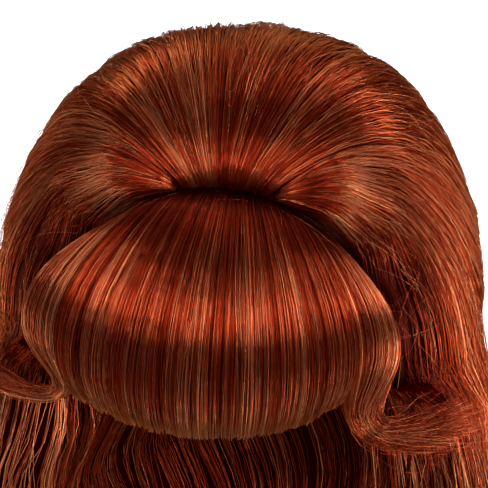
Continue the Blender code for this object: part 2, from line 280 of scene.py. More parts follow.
FRINGE_FORM = table(
    "along spread lift under",
    (0, 1, 0.26, 0),
    (0.14, 1.02, 0.52, 0),
    (0.3, 1.05, 0.78, 0),
    (0.46, 1.08, 0.95, 0.04),
    (0.62, 1.09, 1, 0.14),
    (0.78, 1.07, 0.94, 0.26),
    (0.9, 1.03, 0.76, 0.28),
    (1, 0.98, 0.58, 0.24),
)

FRINGE_HEM = table(
    "across drop",
    (-1, 1.06),
    (-0.5, 1.04),
    (0, 1),
    (0.3, 0.97),
    (0.5, 0.92),
    (1, 1.02),
)

FLIP_FORM = table(
    "along out back drop width depth",
    (0, 0, 0, 0, 1, 1),
    (0.25, -0.12, 0.05, 0.36, 0.82, 0.8),
    (0.42, -0.2, 0.1, 0.68, 0.66, 0.64),
    (0.58, -0.1, 0.22, 0.92, 0.56, 0.52),
    (0.74, 0.22, 0.42, 1, 0.5, 0.46),
    (0.88, 0.62, 0.7, 0.94, 0.42, 0.38),
    (1, 1, 1, 0.78, 0.22, 0.18),
)

LENGTH_FORM = table(
    "along side back depth draw",
    (0, 0, 0, 1, 0),
    (0.08, 0.28, -0.1, 0.94, 0.7),
    (0.22, 0.46, -0.02, 0.88, 0.5),
    (0.38, 0.54, 0.22, 0.82, 0.25),
    (0.54, 0.6, 0.3, 0.74, 0.1),
    (0.7, 0.58, 0.14, 0.6, 0),
    (0.85, 0.8, 0.22, 0.4, 0),
    (1, 1, 0.52, 0.1, 0),
)

CURL_PATH = table(
    "along x y z size",
    (0, 0.098, -0.004, -0.094, 0.004),
    (0.25, 0.108, -0.006, -0.112, 0.007),
    (0.5, 0.115, -0.004, -0.132, 0.009),
    (0.75, 0.121, 0.004, -0.152, 0.008),
    (1, 0.122, 0.016, -0.18, 0.004),
)

FLOOR_PROFILE = table(
    "radius height",
    (0, -0.42),
    (4, -0.42),
    (5, -0.2),
    (5.7, 0.6),
    (6, 2),
    (6.1, 6),
)

# Widths of the locks across each piece
FAN_LOCKS = (1.3, 0.9, 1.1, 0.8, 1.2, 0.9, 1.3)
SWEEP_LOCKS = (1.2, 0.9, 1.3, 1)
FRINGE_LOCKS = (1.1, 0.8, 1, 0.7, 1.2, 0.9, 0.8, 1.1, 0.9)
SIDE_LOCKS = (1, 1.3, 0.9, 1.2, 1)
BACK_LOCKS = (1.1, 0.9, 1.3, 1, 1.2, 0.9, 1.1)

# Ripples that neighbouring strands share, in cycles across the piece
CROWN_RIDGES = (5, 13, 31, 67)
CROWN_SWELLS = (4, 9, 17)
FRONT_RIDGES = (7, 19, 47, 101)
LOCK_RIDGES = (2, 5, 11, 23)
LENGTH_RIDGES = (3, 8, 19, 47)


def smooth(t):
    """Smooth rise from 0 at t 0 to 1 at t 1."""
    t = np.clip(t, 0.0, 1.0)
    return t * t * (3 - 2 * t)


def step(value, start, end):
    """Smooth rise from 0 at the start to 1 at the end."""
    return smooth((value - start) / (end - start))


def bump(value, middle, width):
    """1 at the middle, and less the further from it."""
    return np.exp(-(((value - middle) / width) ** 2))


def mix(a, b, t):
    return a + (b - a) * t


def read(rows, column, at):
    """Value of a column of a table, on a smooth curve through its rows."""
    keys = next(iter(rows.values()))
    values = rows[column]
    at = np.clip(at, keys[0], keys[-1])
    i = np.clip(np.searchsorted(keys, at, side="right"), 1, len(keys) - 1)
    before, after = np.maximum(i - 2, 0), np.minimum(i + 1, len(keys) - 1)
    span = keys[i] - keys[i - 1]
    t = (at - keys[i - 1]) / span
    slope_in = (values[i] - values[before]) / (keys[i] - keys[before]) * span
    slope_out = (values[after] - values[i - 1]) / (keys[after] - keys[i - 1]) * span
    rise = (values[i] - values[i - 1]) * smooth(t)
    return values[i - 1] + rise + slope_in * t * (1 - t) ** 2 - slope_out * t * t * (1 - t)


def unit(vectors):
    return vectors / np.maximum(np.linalg.norm(vectors, axis=-1, keepdims=True), TINY)


def stack(x, y, z):
    return np.stack(np.broadcast_arrays(x, y, z), axis=-1)


def lock_edges(widths):
    """Shares across at which locks of these widths begin and end."""
    return np.concatenate(([0.0], np.cumsum(widths))) / sum(widths)


def groove(share, widths):
    """Depth of the groove at a share, 0 on a lock and 1 between locks, and the lock's index."""
    edges = lock_edges(widths)
    i = np.clip(np.searchsorted(edges, share, side="right") - 1, 0, len(widths) - 1)
    within = (share - edges[i]) / (edges[i + 1] - edges[i])
    return np.abs(2 * within - 1) ** GROOVE_POWER, i


def down_shares(points):
    """Even shares from a strand's root to its tip, in a row."""
    return np.linspace(0, 1, points)[None, :]


def even_shares(rng, count):
    """Shares across of strands that lie side by side."""
    return (np.arange(count) + rng.random(count)) / count


def wander(rng, count, along, waves=3):
    """Slow random drift of each strand, 0 at share 0 along."""
    drift = np.zeros((count, along.shape[-1]))
    for wave in range(1, waves + 1):
        size = rng.normal(0, 1 / wave, (count, 1))
        phase = rng.uniform(0, 2 * math.pi, (count, 1))
        drift += size * (np.sin(wave * math.pi * along + phase) - np.sin(phase))
    return drift


def ripples(rng, cycles):
    """Smooth random function of the share across a piece."""
    waves = [(cycle, rng.uniform(0, 2 * math.pi)) for cycle in cycles]

    def ripple(share):
        total = sum(np.sin(2 * math.pi * cycle * share + phase) for cycle, phase in waves)
        return total / math.sqrt(len(waves))

    return ripple


def tinted(rng, base, along):
    """Tint along each strand: its own shade, that drifts a little."""
    count = len(base)
    along = np.broadcast_to(along, (count, np.shape(along)[-1]))
    drift = 0.07 * wander(rng, count, along)
    return np.clip(base[:, None] + rng.normal(0, 0.12, (count, 1)) + drift, 0, 1)


def rounded(paths):
    """Paths with rounded corners and their ends in place."""
    for _ in range(2):
        sides = 0.25 * paths[:, :-2] + 0.5 * paths[:, 1:-1] + 0.25 * paths[:, 2:]
        paths = np.concatenate((paths[:, :1], sides, paths[:, -1:]), axis=1)
    return paths


def resample(paths, points, reach_share):
    """Even points along the smoothed paths, each cut off at its share of the way."""
    smoothed = rounded(paths)
    steps = np.linalg.norm(np.diff(smoothed, axis=1), axis=2)
    reach = np.concatenate((np.zeros((len(paths), 1)), np.cumsum(steps, axis=1)), axis=1)
    result = np.empty((len(paths), points, 3))
    for i, line in enumerate(smoothed):
        at = np.linspace(0, reach[i, -1] * reach_share[i], points)
        for axis in range(3):
            result[i, :, axis] = np.interp(at, reach[i], line[:, axis])
    return rounded(result)


def head_reach(direction, out):
    """Distance from the middle of the head to a shell that lies out beyond its skin."""
    height = np.where(direction[..., 2] > 0, HEAD_CROWN_HEIGHT, HEAD_NAPE_DEPTH)
    across = direction[..., 0] / (HEAD_HALF_WIDTH + out)
    along = direction[..., 1] / (HEAD_HALF_LENGTH + out)
    up = direction[..., 2] / (height + out)
    return 1 / np.sqrt(across * across + along * along + up * up)


def lifted(direction, lift):
    """Point outside the cap, where lift is the depth of hair beneath it."""
    return HEAD_MIDDLE + direction * (head_reach(direction, CAP_WALL) + lift)[..., None]


def crown_spread(turn):
    """Degrees that the crown's flow lines fan out to each side."""
    return mix(*CROWN_FAN_DEG, smooth(turn / CROWN_FAN_BY_DEG))


def crown_direction(across, turn):
    """Direction of a flow line of the crown, turn degrees on from the gather."""
    gather = math.radians(GATHER_TILT_DEG)
    p = np.radians(turn)
    edge = np.degrees(np.arccos(np.maximum(-1.0, -math.tan(gather) * np.tan(p / 2))))
    spread = mix(crown_spread(turn), edge, np.abs(across) ** CROWN_EDGE_POWER)
    a = np.radians(across * spread)
    ahead, back, side = np.cos(p), np.cos(a) * np.sin(p), np.sin(a) * np.sin(p)
    row = GATHER_HALF_WIDTH / GATHER_REACH * (1 - smooth(turn / GATHER_END_DEG))
    side = side + row * np.clip(across / CROWN_PART, -1, 1)
    y = back * math.cos(gather) - ahead * math.sin(gather)
    z = back * math.sin(gather) + ahead * math.cos(gather)
    return unit(stack(side, y, z))


def crown_lift(across, turn):
    """Depth of the mound, rolled over to a lip along its front edge."""
    a = np.radians(np.minimum(np.abs(across) * crown_spread(turn), 90))
    lift = CROWN_LIFT * read(CROWN_FORM, "over", turn) * np.cos(a) ** 2
    lift = lift + CROWN_SPREAD * read(CROWN_FORM, "side", turn) * np.sin(a) ** 2
    lift = lift + CROWN_SHOULDER * read(CROWN_FORM, "shoulder", turn) * np.sin(2 * a) ** 2
    on_left = across > 0
    lean = np.where(on_left, read(CROWN_LEAN, "left", turn), read(CROWN_LEAN, "right", turn))
    lift = lift + lean * np.sin(a) ** 2
    shoulder = np.where(on_left, read(CROWN_LEAN, "left_shoulder", turn), 0)
    lift = lift + shoulder * (np.sin(2 * a) * np.cos(a)) ** 2
    edge_length = math.radians(LIP_EDGE_DEG) * (HEAD_HALF_WIDTH + CAP_WALL)
    inward = (1 - np.abs(across)) * edge_length * np.sin(np.radians(turn)) / LIP_ROUND
    roll = np.sqrt(1 - (1 - np.clip(inward, 0.0, 1.0)) ** 2)
    return mix(np.minimum(LIP_LIFT, lift), lift, roll)


def lip_rise(turn, start):
    """Share of the lift where hair rolls up out of the gather."""
    into = np.clip((turn - start) / (LIP_TURN_DEG + LIP_TURN_GROWTH * start), 0.0, 1.0)
    return mix(LIP_ROOT_SHARE, 1, np.sqrt(1 - (1 - into) ** 2))


def groove_depth(turn):
    """Grooves between the locks open out of the gather and fade to half over the top."""
    return smooth(turn / GROOVE_OPEN_DEG) * (1 - GROOVE_FADE * step(turn, *GROOVE_FADE_DEG))


def recess(line, along):
    """How far the front edge of a sweep draws in beside the front lock, low down. The same share
    sets the painted shade in that recess.
    """
    return step(line, *RECESS_LINE) * step(along, *RECESS_ALONG)


def find_seam(across):
    """Where flow lines of the crown meet the tilted seam above the lengths."""
    low, high = (np.full_like(across, turn) for turn in SEAM_RANGE_DEG)
    for _ in range(SEAM_HALVINGS):
        middle = (low + high) / 2
        point = lifted(crown_direction(across, middle), crown_lift(across, middle))
        above = point[..., 2] + SEAM_TILT * point[..., 1] > -SEAM_HEIGHT
        low, high = np.where(above, middle, low), np.where(above, high, middle)
    return low


SEAM_SHARES = np.linspace(-1, 1, 161)
SEAM_TURNS = find_seam(SEAM_SHARES)


def seam_turn(across):
    return np.interp(across, SEAM_SHARES, SEAM_TURNS)


def front_direction(across, along):
    """Direction of a flow line of the front hair, from under the mound down the face."""
    edge = math.radians(90 - GATHER_TILT_DEG) - FRONT_SETBACK_RAD
    root = np.radians(across * FRINGE_ROOT_DEG)
    hem = FRINGE_DROP * read(FRINGE_HEM, "drop", across) - HEAD_CROWN_HEIGHT
    end_tilt = math.pi / 2 + np.arcsin(hem / HEAD_HALF_LENGTH)
    tilt = mix(np.arccos(np.cos(root) * math.sin(edge)), end_tilt, along)
    turn = np.arctan2(np.sin(root) * math.sin(edge), math.cos(edge))
    turn = turn * read(FRINGE_FORM, "spread", along)
    return stack(np.sin(tilt) * np.sin(turn), -np.sin(tilt) * np.cos(turn), np.cos(tilt))


def front_lift(across, along, face):
    """Depth of the front hair, from face 0, inside, to face 1, outside."""
    outer = FRINGE_LIFT * read(FRINGE_FORM, "lift", along)
    outer = outer * mix(1, FRONT_THIN_SHARE, step(np.abs(across), FRONT_THIN_FROM, 1))
    outer = outer + FRINGE_FULL_RIGHT * step(-across, 0.3, 0.8) * step(along, 0, 0.4)
    return mix(FRINGE_LIFT * read(FRINGE_FORM, "under", along) + SKIN_GAP, outer, face)


def root_rise(along, root, least):
    """Share of the lift near the roots of the front hair, which lie flatter."""
    return mix(least, 1, smooth((along - root) / ROOT_RISE))


def front_spot(across, along, rise):
    return lifted(front_direction(across, along), front_lift(across, along, 1.0) + rise)


def flip_point(side, share, along, face):
    """Point of the flip that turns out below a front lock."""
    middle = np.array(mix(FRINGE_PART, 1, 0.5) * side)
    normal = front_direction(middle, np.array(FLIP_START))
    start = lifted(normal, front_lift(middle, np.array(FLIP_START), 0.5))
    mirror = (side, 1, 1)
    start, normal = start * mirror, normal * mirror
    reach = (FLIP_REACH, FLIP_BACK, -FLIP_DROP[side])

    def path(at):
        forms = (read(FLIP_FORM, column, at) for column in ("out", "back", "drop"))
        return start + stack(*forms) * reach

    ahead = unit(path(np.minimum(along + FLIP_SPAN, 1)) - path(along - FLIP_SPAN))
    facing = unit(mix(normal, FLIP_FACING, smooth(along)[..., None]))
    half_width = (FLIP_HALF_WIDTH * read(FLIP_FORM, "width", along))[..., None]
    across = unit(np.cross(facing, ahead)) * half_width
    depth = facing * (FLIP_DEPTH * read(FLIP_FORM, "depth", along) * (face - 0.5))[..., None]
    return (path(along) + across * (2 * share - 1)[..., None] + depth) * mirror


def length_point(across, along, face):
    """Point of the lengths, from face 0, inside, to face 1, outside."""
    turn = seam_turn(across)
    direction = crown_direction(across, turn + LENGTH_TURN_DEG)
    outer = lifted(direction, crown_lift(across, turn) - LENGTH_STEP)
    inner = lifted(direction, np.full_like(turn, SKIN_GAP))
    front = np.arctan2(-outer[..., 1], np.abs(outer[..., 0]))
    side = np.maximum(0.0, np.cos(front)) ** 2
    flare = mix(read(LENGTH_FORM, "back", along), read(LENGTH_FORM, "side", along), side)
    outer_reach = np.hypot(outer[..., 0], outer[..., 1]) + LENGTH_FLARE * flare
    gap = outer - inner
    depth = mix(np.hypot(gap[..., 0], gap[..., 1]), LENGTH_DEPTH, step(along, 0, 0.25))
    reach = outer_reach - depth * read(LENGTH_FORM, "depth", along) * (1 - face)
    draw = math.radians(LENGTH_DRAW_DEG) * read(LENGTH_FORM, "draw", along)
    front = front - draw * step(np.degrees(front), *LENGTH_DRAW_FROM_DEG)
    top = mix(inner[..., 2], outer[..., 2], face)
    sign = np.where(across >= 0, 1.0, -1.0)
    return stack(sign * reach * np.cos(front), -reach * np.sin(front), top - LENGTH_DROP * along)


def waved(points, share, along, locks, phases):
    """Sway the lengths to and fro, each lock a little out of step with the next."""
    edges = lock_edges(locks)
    phase = np.interp(share, (edges[:-1] + edges[1:]) / 2, phases)
    outward = unit(points * (1, 1, 0))
    sideways = np.cross(outward, (0, 0, 1))
    angle = 2 * math.pi * (WAVE_COUNT * along + phase)
    grow = step(along, 0, 0.25)
    sideways = sideways * (WAVE_SIDEWAYS * np.sin(angle) * grow)[..., None]
    return points + sideways + outward * (WAVE_OUTWARD * np.cos(angle) * grow)[..., None]


def new_object(name, data):
    """A new object, put in the scene."""
    made = bpy.data.objects.new(name, data)
    bpy.context.scene.collection.objects.link(made)
    return made


class Hair:
    """Parts of one piece of hair, gathered as arrays and joined into one mesh."""

    def __init__(self, thickness):
        self.thickness = thickness
        self.points, self.tints, self.quads, self.triangles = [], [], [], []
        self.count = 0
        self.body_quads = 0

    def add(self, points, tints, quads, triangles):
        self.points.append(points)
        self.tints.append(tints)
        self.quads.append(quads + self.count)
        self.triangles.append(triangles + self.count)
        self.count += len(points)

    def add_strands(self, paths, widths, tints, outward=None, blunt=0.25):
        """Closed three-sided strands that taper at both ends. paths is strands x points x 3."""
        strands, points, _ = paths.shape
        ahead = unit(np.gradient(paths, axis=1))
        if outward is None:
            outward = paths - HEAD_MIDDLE
        side = unit(np.cross(ahead, outward))
        up = np.cross(side, ahead)
        down = np.linspace(0, 1, points)
        from_end = np.minimum(down, 1 - down)
        taper = blunt + (1 - blunt) * np.minimum(1, 6 * from_end) ** 0.7
        radius = (self.thickness * widths[:, None] / 2 * taper)[..., None]
        rings = [
            paths + radius * (math.cos(angle) * side + math.sin(angle) * up)
            for angle in np.radians((90, 210, 330))
        ]
        ring = np.stack(rings, axis=2)
        first = np.arange(strands * points).reshape(strands, points) * 3
        start, end = first[:, :-1], first[:, 1:]
        quads = []
        for k in range(3):
            after = (k + 1) % 3
            corners = (start + k, start + after, end + after, end + k)
            quads.append(np.stack(corners, -1).reshape(-1, 4))
        root, tip = first[:, 0], first[:, -1]
        root_cap = np.stack((root + 2, root + 1, root), -1)
        tip_cap = np.stack((tip, tip + 1, tip + 2), -1)
        tints = np.clip(np.reshape(tints, (strands, -1)), 0, 1)
        tints = np.broadcast_to(tints, (strands, points))
        self.add(
            ring.reshape(-1, 3), np.repeat(tints.reshape(-1), 3),
            np.concatenate(quads), np.concatenate((root_cap, tip_cap)),
        )

    def add_body(self, place, across, down):
        """Closed soft body under the strands. place(share, along, face) gives its two faces."""
        shares = np.linspace(0, 1, across)
        share, along = np.meshgrid(shares, np.linspace(0, 1, down), indexing="ij")
        outer = place(share, along, np.ones_like(share)).reshape(-1, 3)
        inner = place(share, along, np.zeros_like(share)).reshape(-1, 3)
        size = across * down
        index = np.arange(size).reshape(across, down)
        a, b, c, d = index[:-1, :-1], index[1:, :-1], index[1:, 1:], index[:-1, 1:]
        face = np.stack((a, b, c, d), -1).reshape(-1, 4)
        rim = np.concatenate((index[:, 0], index[-1, 1:], index[-2::-1, -1], index[0, -2:0:-1]))
        after = np.roll(rim, -1)
        wall = np.stack((after, rim, rim + size, after + size), -1)
        quads = np.concatenate((face, face[:, ::-1] + size, wall))
        points = np.concatenate((outer, inner))
        self.add(points, np.zeros(len(points)), quads, np.zeros((0, 3), int))
        self.body_quads = len(quads)

    def build(self, name, materials):
        """One mesh object of everything that was added."""
        points = np.concatenate(self.points)
        quads, triangles = np.concatenate(self.quads), np.concatenate(self.triangles)
        corners = np.concatenate((quads.ravel(), triangles.ravel()))
        mesh = bpy.data.meshes.new(name)
        mesh.vertices.add(len(points))
        mesh.vertices.foreach_set("co", points.astype(np.float32).ravel())
        mesh.loops.add(len(corners))
        mesh.loops.foreach_set("vertex_index", corners.astype(np.int32))
        mesh.polygons.add(len(quads) + len(triangles))
        sizes = np.repeat((4, 3), (len(quads), len(triangles)))
        starts = np.concatenate(([0], np.cumsum(sizes)[:-1]))
        mesh.polygons.foreach_set("loop_start", starts.astype(np.int32))
        mesh.update(calc_edges=True)
        mesh.validate()
        layer = mesh.attributes.new("tint", "FLOAT", "POINT")
        layer.data.foreach_set("value", np.concatenate(self.tints).astype(np.float32))
        mesh.shade_smooth()
        for material in materials:
            mesh.materials.append(material)
        slots = np.zeros(len(mesh.polygons), np.int32)
        slots[:self.body_quads] = 1
        mesh.polygons.foreach_set("material_index", slots)
        return new_object(name, mesh)


def stand_for(piece, slot, *nodes):
    """Ride with the wig and replace the plain solids. The slot argument is not used."""
    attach(piece, "root")
    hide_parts(*nodes)


def crown_place(parts, locks, start, hollow=0.0):
    """Placing function for the under-layer of a crown piece between two parts."""
    def place(share, along, face):
        across = mix(*parts, share)
        down = along ** 1.4
        turn = mix(start, seam_turn(across), down)
        dip, _ = groove(share, locks)
        lift = crown_lift(across, turn) * lip_rise(turn, start) - CROWN_INSET
        lift = lift - CROWN_BODY_GROOVE * dip * groove_depth(turn)
        lift = lift - hollow * recess(share, down)
        lift = np.maximum(mix(CROWN_GAP, lift, face), SKIN_GAP)
        return lifted(crown_direction(across, turn), lift)

    return place


def crown_strands(
    hair, rng, count, parts, locks, start, wall=0.0, hollow=0.0, swing=0.0, points=13
):
    """Combed strands of a crown piece, from the gather on over the seam.

    A share wall of them closes the second edge, where the recess is hollow deep.
    """
    share = even_shares(rng, count)
    late = rng.random(count) < LATE_PORTION
    first = np.where(late, rng.uniform(*LATE_START, count), 0.0)[:, None]
    past = rng.random(count) < PAST_PORTION
    last = np.where(past, rng.uniform(*PAST_END, count), rng.uniform(*SHORT_END, count))
    spacing = np.where(late, 1.15, 1.6)[:, None]
    down = down_shares(points) ** spacing
    along = mix(first, last[:, None], down)
    above = np.minimum(along, 1)
    deep = rng.random(count)[:, None] ** LAYER_POWER
    astray = rng.random(count) < STRAY_PORTION
    stray = np.where(astray, STRAY_DRIFT, COMBED_DRIFT)[:, None]
    line = share[:, None] + stray * wander(rng, count, above)
    line = np.clip(line, EDGE_SHARE, 1 - EDGE_SHARE)
    on_wall = rng.random(count) < wall
    line = np.where(on_wall[:, None], 1 - EDGE_SHARE, line)
    across = mix(*parts, line)
    turn = mix(start, seam_turn(across), above)
    dip, lock = groove(line, locks)
    ridge, swell = ripples(rng, CROWN_RIDGES), ripples(rng, CROWN_SWELLS)
    lift = crown_lift(across, turn) - 0.001 * step(turn, 0, 30)
    lift = lift - CROWN_GROOVE * dip * groove_depth(turn) + 0.0006 * swell(line)
    lift = lift - LAYER * deep + 0.0003 * wander(rng, count, above, 2)
    lift = lift - LATE_SINK * late[:, None] * (1 - step(down, 0, 0.25))
    run = turn - start
    swung = -np.sin(2 * math.pi * run / SWING_WAVE_DEG) * smooth(run / SWING_GROW_DEG)
    lift = lift + swing * swung * (1 - step(run, *SWING_FADE_DEG))
    drawn = recess(line, along)
    on_wall_lift = np.where(on_wall, rng.uniform(0.2, 1, count), 1)[:, None]
    lift = lift * on_wall_lift * lip_rise(turn, start)
    paths = lifted(crown_direction(across, turn), np.maximum(lift - hollow * drawn, CROWN_GAP))
    depth = 1.02 - 0.05 * deep - 20 * hollow * drawn
    below = length_point(across, np.maximum(along - 1, 0) * 0.9, depth)
    paths = mix(paths, below, step(along, 0.96, 1.06)[..., None])
    lock_tint = rng.uniform(-0.1, 0.1, len(locks))[lock[:, 0]]
    # Strands deeper in the layer are darker: painted shade under the strands above them.
    base = 0.5 + lock_tint + 0.11 * ridge(share) - 0.3 * deep[:, 0]
    base = base + STRAY_TINT * (stray[:, 0] - COMBED_DRIFT)
    # Painted shade: strands darken where the front edge of a sweep draws in.
    tints = tinted(rng, base, along) - RECESS_PAINTED_SHADE * hollow * drawn
    # Painted highlight and painted shade: a pale band and a dark band across the sweeps near the
    # gather.
    painted_bands = SWING_PAINTED_LIGHT * (bump(run, *PAINTED_HIGHLIGHT_BAND_DEG) - bump(run, *PAINTED_SHADE_BAND_DEG))
    tints = tints + swing * painted_bands * step(line, 0, 0.25)
    hair.add_strands(paths, rng.uniform(*CROWN_WIDTH, count), tints)


def crown_flyaways(hair, rng, count, parts, start, points=9):
    """Fine loose hairs that lift a little off the mound."""
    share = rng.uniform(0.01, 0.99, count)
    first = rng.uniform(0.05, 0.75, count)[:, None]
    along = first + rng.uniform(0.1, 0.3, count)[:, None] * down_shares(points)
    line = share[:, None] + 0.03 * wander(rng, count, along * 3)
    across = mix(*parts, np.clip(line, 0, 1))
    turn = mix(start, seam_turn(across), np.minimum(along, 1))
    rise = smooth(np.linspace(0, 1.3, points))[None, :]
    rise = rng.uniform(0.0002, 0.0034, count)[:, None] * rise
    lift = crown_lift(across, turn) * lip_rise(turn, start) + rise
    paths = lifted(crown_direction(across, turn), lift)
    hair.add_strands(paths, np.full(count, FLYAWAY_WIDTH), rng.uniform(0.5, 1, count))


def front_place(parts, locks):
    """Placing function for the under-layer of a front piece between two parts."""
    def place(share, along, face):
        across = mix(*parts, share)
        dip, _ = groove(share, locks)
        along = mix(FRONT_BODY_ROOT, FRONT_BODY_TIP, along)
        inset = FRONT_INSET + FRONT_BODY_GROOVE * dip
        lift = front_lift(across, along, face) - face * inset * smooth(along * 6 + 0.5)
        lift = lift * root_rise(along, FRONT_BODY_ROOT, 0.4)
        return lifted(front_direction(across, along), np.maximum(lift, FRONT_BODY_GAP))

    return place


def front_strands(hair, rng, count, parts, locks, points=13):
    """Sleek strands of the front roll, from under the mound's front edge to the tips."""
    share = even_shares(rng, count)
    ridge = ripples(rng, FRONT_RIDGES)
    last = FRONT_TIP - np.abs(rng.normal(0, FRONT_TIP_SPREAD, count))
    last = (last - FRONT_TIP_WAVE * ridge(share))[:, None]
    along = mix(FRONT_ROOT, last, down_shares(points))
    deep = rng.random(count)[:, None] ** LAYER_POWER
    line = share[:, None] + COMBED_DRIFT * wander(rng, count, along - FRONT_ROOT)
    line = np.clip(line, EDGE_SHARE, 1 - EDGE_SHARE)
    dip, lock = groove(line, locks)
    across = mix(*parts, line)
    outer = front_lift(across, along, 1.0)
    lift = outer + 0.0004 - FRONT_GROOVE * dip * smooth(along * 3) + 0.0005 * ridge(line)
    lift = lift - np.minimum(LAYER, outer - front_lift(across, along, 0.0)) * deep
    lift = lift + 0.0002 * wander(rng, count, along, 2)
    lift = lift * root_rise(along, FRONT_ROOT, 0.35)
    paths = lifted(front_direction(across, along), np.maximum(lift, SKIN_GAP))
    lock_tint = rng.uniform(-0.06, 0.06, len(locks))[lock[:, 0]]
    # Strands deeper in the layer are darker: painted shade under the strands above them.
    base = 0.5 + lock_tint + 0.09 * ridge(share) - 0.25 * deep[:, 0]
    tints = tinted(rng, base, along - FRONT_ROOT)
    # Painted shade: the roots darken under the mound's front edge.
    tints = tints - 0.52 * (1 - step(along, FRONT_ROOT, 0.3))
    # Painted light: the tips are lighter, as if lit from below.
    tints = tints + 0.22 * step(along, 0.72, 0.9)
    hair.add_strands(paths, rng.uniform(*FRONT_WIDTH, count), tints, blunt=0.8)


def lock_paths(side, share, face, points, narrow, reach_share):
    """Whole flow lines of a front lock, down the roll and out through the flip."""
    roll = np.linspace(FRONT_ROOT, FLIP_START, 12)[None, :]
    across = side * mix(FRINGE_PART, 1, share)[:, None]
    lift = front_lift(across, roll, face[:, None]) * root_rise(roll, FRONT_ROOT, 0.35)
    first = lifted(front_direction(across, roll), lift)
    flip = np.linspace(0.25, 1, 9)[None, :]
    closer = mix(1, narrow, step(flip, 0, 0.5))
    flip_share = mix(0.5, share[:, None], closer)
    flip_face = mix(0.5, face[:, None], closer)
    second = flip_point(side, flip_share, flip + 0 * share[:, None], flip_face)
    return resample(np.concatenate((first, second), axis=1), points, reach_share)


def lock_strands(hair, rng, count, side, points=20):
    """Strands of a front lock, that loosen towards the tips of its flip."""
    share, face = rng.uniform(0.01, 0.99, count), 1 - rng.random(count) ** 1.8
    ridge = ripples(rng, LOCK_RIDGES)
    narrow = FLIP_NARROW[side]
    reach_share = np.clip(1 - 0.09 * np.abs(rng.normal(0, 1, count)), 0.75, 1)
    paths = lock_paths(side, share, face, points, narrow, reach_share)
    paths = paths + (0.0008 * ridge(share))[:, None, None] * unit(paths - HEAD_MIDDLE)
    along = down_shares(points)
    loose = narrow * (0.002 * step(along, 0.55, 1) + 0.0038 * step(along, 0.82, 1))
    for axis in range(3):
        paths[..., axis] += loose * wander(rng, count, along, 2)
    at_edge = np.abs(2 * share - 1) > 0.93
    # Strands on the inside of the lock are darker, as painted shade; the strands along its two
    # edges are darker too.
    base = 0.37 + 0.22 * face + 0.14 * ridge(share) - 0.15 * at_edge
    # Painted shade: the roots darken under the mound's front edge.
    tints = tinted(rng, base, along) - 0.35 * (1 - step(along, 0, 0.2))
    hair.add_strands(paths, rng.uniform(*LOCK_WIDTH, count), tints)


def loose_hairs(hair, rng, starts, ends, bow, points=9):
    """Fine stray hairs that bow outward between two points each."""
    middles = (starts + ends) / 2
    outward = unit(middles - HEAD_MIDDLE) * bow[:, None]
    middles = middles + outward + rng.normal(0, 0.003, starts.shape)
    t = np.linspace(0, 1, points)[None, :, None]
    starts, middles, ends = (spots[:, None] for spots in (starts, middles, ends))
    paths = (1 - t) ** 2 * starts + 2 * t * (1 - t) * middles + t * t * ends
    count = len(starts)
    hair.add_strands(paths, np.full(count, LOOSE_WIDTH), rng.uniform(0.45, 0.85, count))


def slit_hairs(hair, rng, count):
    """Loose hairs that cross the roots of the fringe below the slit."""
    across = rng.uniform(-0.75, 0.5, count)
    starts = front_spot(across, rng.uniform(0.0, 0.05, count), 0.001)
    across = across + rng.normal(0, 0.3, count)
    ends = front_spot(across, rng.uniform(0.06, 0.2, count), 0.001)
    loose_hairs(hair, rng, starts, ends, rng.uniform(0.001, 0.004, count))


def recess_hairs(hair, rng, count, side):
    """Loose hairs across the recess between a front lock and its sweep."""
    across = side * rng.uniform(0.86, 1.0, count)
    starts = front_spot(across, rng.uniform(0.35, 0.8, count), -0.001)
    across = side * rng.uniform(0.8, 0.92, count)
    turn = seam_turn(across) * rng.uniform(0.6, 1.0, count)
    ends = lifted(crown_direction(across, turn), crown_lift(across, turn) - 0.006)
    loose_hairs(hair, rng, starts, ends, rng.uniform(-0.006, 0.004, count))


def length_place(parts, locks, phases):
    """Placing function for the soft body inside the lengths."""
    def place(share, along, face):
        dip, _ = groove(share, locks)
        along = along * (0.8 - 0.08 * dip)
        across = np.clip(mix(*parts, mix(-0.01, 1.01, share)), -0.99, 0.99)
        points = length_point(across, along, mix(0.2, 0.82 - LENGTH_GROOVE * dip, face))
        return waved(points, share, along, locks, phases)

    return place


